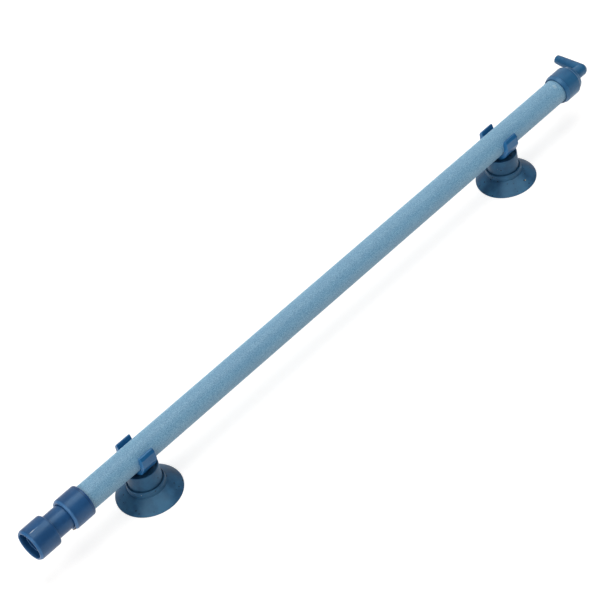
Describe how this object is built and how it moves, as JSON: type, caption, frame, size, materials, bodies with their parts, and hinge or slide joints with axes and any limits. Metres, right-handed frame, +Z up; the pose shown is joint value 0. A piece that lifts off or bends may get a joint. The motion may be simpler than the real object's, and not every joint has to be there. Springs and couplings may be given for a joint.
{
  "type": "aquarium bubble wall tube",
  "caption": "Straight porous air diffuser tube held by open clips on suction cups, with a barbed elbow inlet at one end and a coupling for a further tube at the other.",
  "frame": {"origin": "in the plane of the suction cups' rims, under the middle of the whole object", "axes": "+X along the tube towards the inlet cap, +Y the way the hose barb points, +Z up from the cups' rims to the tube"},
  "size_m": [0.3636, 0.0304, 0.0302],
  "materials": {
    "porous_plastic": "sintered, fine grain",
    "fitting_plastic": "smooth moulded gloss",
    "clip_plastic": "smooth moulded gloss",
    "cup_rubber": "soft satin rubber with specks of dirt"
  },
  "bodies": {
    "root": {"porous_tube": "porous_plastic", "tube_ferrule": "fitting_plastic", "extension_coupling": "fitting_plastic", "inlet_cap": "fitting_plastic", "clip_near": "clip_plastic", "clip_far": "clip_plastic", "suction_cup_near": "cup_rubber", "suction_cup_far": "cup_rubber"}
  },
  "joints": []
}
